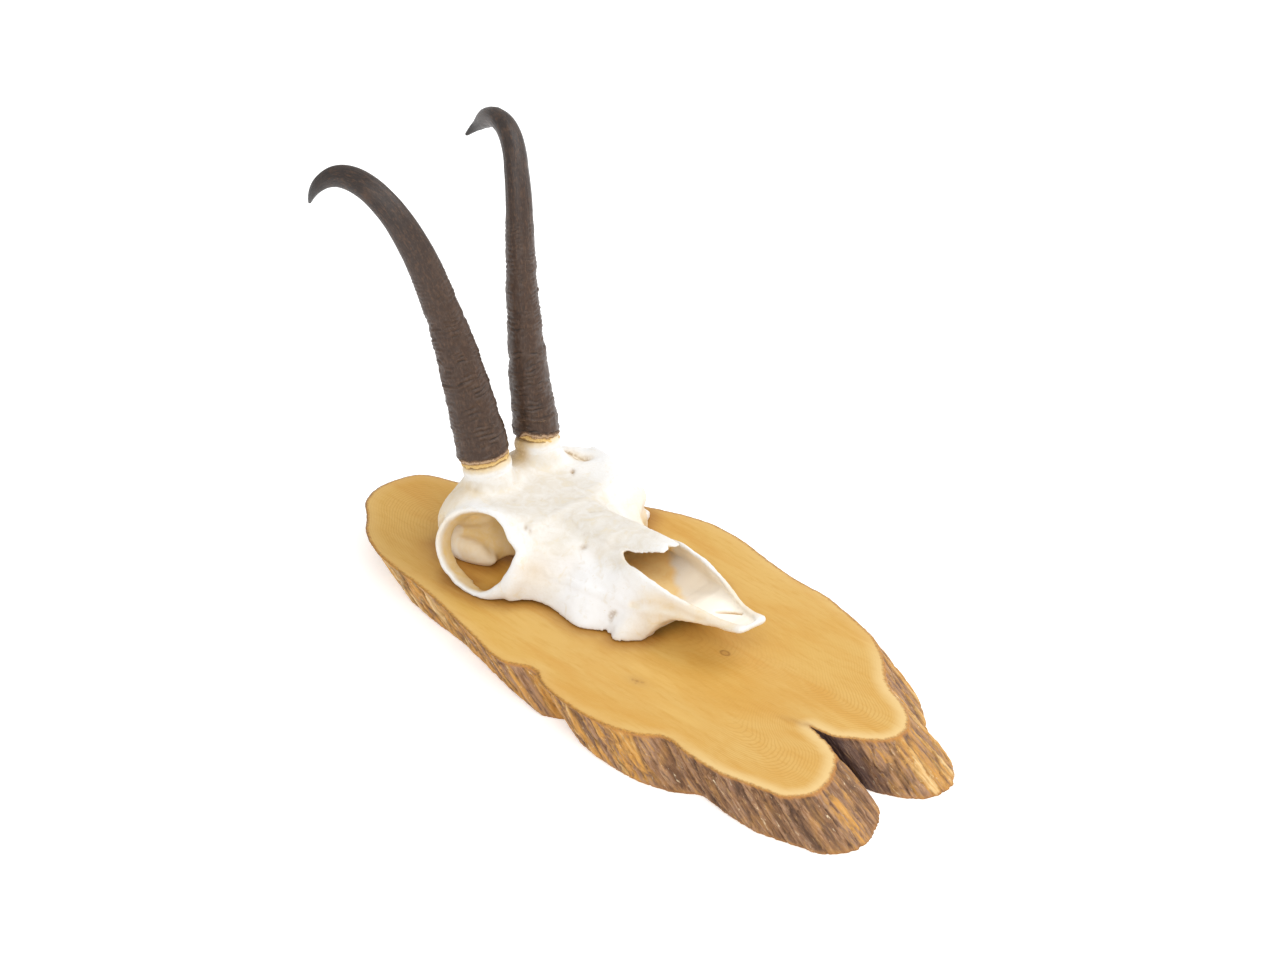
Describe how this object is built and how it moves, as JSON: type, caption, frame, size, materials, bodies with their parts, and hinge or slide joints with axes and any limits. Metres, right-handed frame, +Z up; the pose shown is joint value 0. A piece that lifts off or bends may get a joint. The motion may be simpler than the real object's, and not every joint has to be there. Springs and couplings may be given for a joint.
{
  "type": "horn trophy",
  "caption": "Hunting trophy: dark hooked horns on a bleached skull with open eye sockets, seated on a slanted slab of honey-coloured wood that keeps its flaky bark.",
  "frame": {"origin": "under the middle of the whole object, on the flat back face of the wood slab that it lies on", "axes": "+X along the skull towards the nose, +Y towards the animal's left side, +Z up, away from the slab's back face"},
  "size_m": [0.3354, 0.1458, 0.1905],
  "materials": {
    "wood": "satin",
    "bone": "matte",
    "horn": "satin"
  },
  "bodies": {
    "root": {"wood_slab": "wood", "skull": "bone", "horn_sheath_right": "horn", "horn_sheath_left": "horn"}
  },
  "joints": []
}
